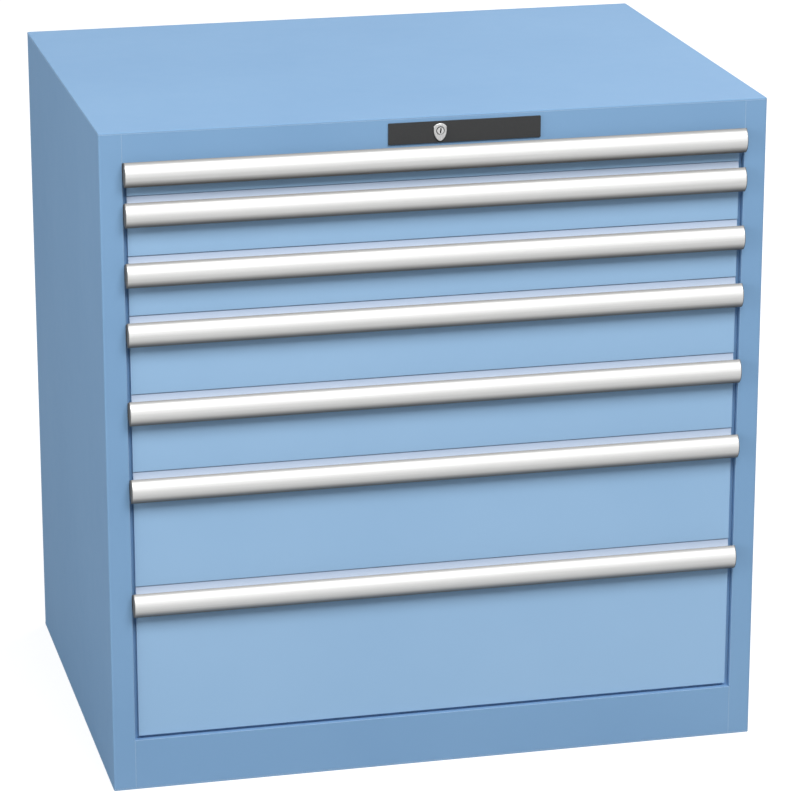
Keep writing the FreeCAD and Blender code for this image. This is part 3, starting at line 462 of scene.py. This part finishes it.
def rivet(x, y, z):
    """Corners and faces of one rivet head that faces the rear, with the hole of its mandrel in the middle."""
    corners = []
    for radius, height in RIVET_HEAD[1:]:
        for side in range(RIVET_SIDES):
            angle = math.tau * side / RIVET_SIDES
            corners.append((x + radius * math.cos(angle), y + height, z + radius * math.sin(angle)))
    rings = len(RIVET_HEAD) - 1
    faces = []
    for ring in range(rings - 1):
        for side in range(RIVET_SIDES):
            after = (side + 1) % RIVET_SIDES
            inner = ring * RIVET_SIDES
            outer = inner + RIVET_SIDES
            faces.append((inner + side, inner + after, outer + after, outer + side))
    corners.append((x, y + RIVET_HEAD[0][1], z))
    middle = len(corners) - 1
    for side in range(RIVET_SIDES):
        faces.append((middle, (side + 1) % RIVET_SIDES, side))
    base = range((rings - 1) * RIVET_SIDES, rings * RIVET_SIDES)
    faces.append(tuple(reversed(base)))
    return corners, faces


def rear_rivets(material):
    """Blind rivets that hold the back panel to the rear flanges."""
    corners = []
    faces = []
    # Each side panel's node, the corner of its box on the outer side, and the direction in from there
    for node, edge, inward in (("left_side_panel", 0, 1), ("right_side_panel", 1, -1)):
        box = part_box(node)
        x = box[edge].x + inward * RIVET_FROM_EDGE
        low = box[0].z + RIVET_MARGIN
        step = (box[1].z - RIVET_MARGIN - low) / (RIVETS_PER_SIDE - 1)
        for row in range(RIVETS_PER_SIDE):
            new_corners, new_faces = rivet(x, box[1].y, low + row * step)
            first = len(corners)
            corners.extend(new_corners)
            faces.extend(tuple(first + corner for corner in face) for face in new_faces)
    mesh = new_mesh("rear_rivets", corners, faces, material)
    for face in mesh.polygons:
        face.use_smooth = len(face.vertices) < RIVET_SIDES
    piece = new_object("rear_rivets", mesh)
    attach(piece, "housing")


# Surroundings


def camera_share(nodes, links, also_glossy):
    """Output that is 1 for the camera's own rays and, where asked, for mirrored and transmitted rays too."""
    path = nodes.new("ShaderNodeLightPath")
    seen = path.outputs["Is Camera Ray"]
    if also_glossy:
        for name in ("Is Glossy Ray", "Is Transmission Ray"):
            either = nodes.new("ShaderNodeMath")
            either.operation = "MAXIMUM"
            links.new(seen, either.inputs[0])
            links.new(path.outputs[name], either.inputs[1])
            seen = either.outputs[0]
    return seen


def world():
    """White behind the object, and a plain soft light from all round."""
    scene_world = bpy.data.worlds.new("studio")
    scene_world.use_nodes = True
    bpy.context.scene.world = scene_world
    nodes = scene_world.node_tree.nodes
    links = scene_world.node_tree.links
    nodes.clear()
    light = nodes.new("ShaderNodeBackground")
    light.inputs["Color"].default_value = WHITE
    light.inputs["Strength"].default_value = SKY_LIGHT
    white = nodes.new("ShaderNodeBackground")
    white.inputs["Color"].default_value = WHITE
    mix = nodes.new("ShaderNodeMixShader")
    output = nodes.new("ShaderNodeOutputWorld")
    links.new(camera_share(nodes, links, also_glossy=True), mix.inputs[0])
    links.new(light.outputs[0], mix.inputs[1])
    links.new(white.outputs[0], mix.inputs[2])
    links.new(mix.outputs[0], output.inputs[0])


def floor_white():
    """Pale matt floor that also glows for the camera, so that it ends in white around the shadow."""
    material = bpy.data.materials.new("floor_white")
    material.use_nodes = True
    nodes = material.node_tree.nodes
    links = material.node_tree.links
    shader = nodes["Principled BSDF"]
    shader.inputs["Base Color"].default_value = (*FLOOR, 1)
    shader.inputs["Roughness"].default_value = FLOOR_ROUGHNESS
    glow = nodes.new("ShaderNodeEmission")
    glow.inputs["Color"].default_value = WHITE
    strength = nodes.new("ShaderNodeMath")
    strength.operation = "MULTIPLY"
    strength.inputs[1].default_value = FLOOR_GLOW
    links.new(camera_share(nodes, links, also_glossy=False), strength.inputs[0])
    links.new(strength.outputs[0], glow.inputs["Strength"])
    both = nodes.new("ShaderNodeAddShader")
    links.new(shader.outputs[0], both.inputs[0])
    links.new(glow.outputs[0], both.inputs[1])
    links.new(both.outputs[0], nodes["Material Output"].inputs["Surface"])
    return material


def floor():
    """Floor that keeps the object's soft shadow."""
    places = ((-1, -1), (1, -1), (1, 1), (-1, 1))
    corners = [(x * FLOOR_HALF_SIDE, y * FLOOR_HALF_SIDE, 0.0) for x, y in places]
    plane = new_object("floor", new_mesh("floor", corners, [(0, 1, 2, 3)], floor_white()))


def area_light(name, place, power, width, height):
    """A soft rectangular lamp that looks at the object's middle."""
    data = bpy.data.lights.new(name, "AREA")
    data.shape = "RECTANGLE"
    data.size = width
    data.size_y = height
    data.energy = power
    lamp = new_object(name, data)
    lamp.location = place
    look(lamp, Vector(LAMP_AIM) - Vector(place))


def lights():
    """A wide key lamp above the front, a fill lamp to the left and a lamp behind the right side."""
    area_light("key", place=(0.7, -4.6, 5.8), power=445.0, width=4.6, height=3.0)
    area_light("fill", place=(-4.6, -1.6, 2.0), power=98.0, width=2.6, height=2.6)
    area_light("rear", place=(3.9, 3.3, 2.8), power=150.0, width=3.0, height=2.2)


def camera():
    """Camera that looks down at the front from its left, as the photograph does."""
    data = bpy.data.cameras.new("camera")
    data.sensor_width = SENSOR_WIDTH
    data.lens = CAMERA_LENS
    data.clip_end = CAMERA_REACH
    azimuth = math.radians(CAMERA_AZIMUTH)
    elevation = math.radians(CAMERA_ELEVATION)
    back = Vector((
        math.sin(azimuth) * math.cos(elevation),
        -math.cos(azimuth) * math.cos(elevation),
        math.sin(elevation),
    ))
    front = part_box("top_rail")[0].y
    shot = new_object("camera", data)
    shot.location = Vector((AIM_X, front, AIM_Z)) + back * CAMERA_DISTANCE
    look(shot, -back)
    bpy.context.scene.camera = shot


camera()
finishes = dress_nodes()
rear_rivets(finishes["zinc_steel"])
world()
floor()
lights()
bpy.context.scene.view_settings.view_transform = "Standard"
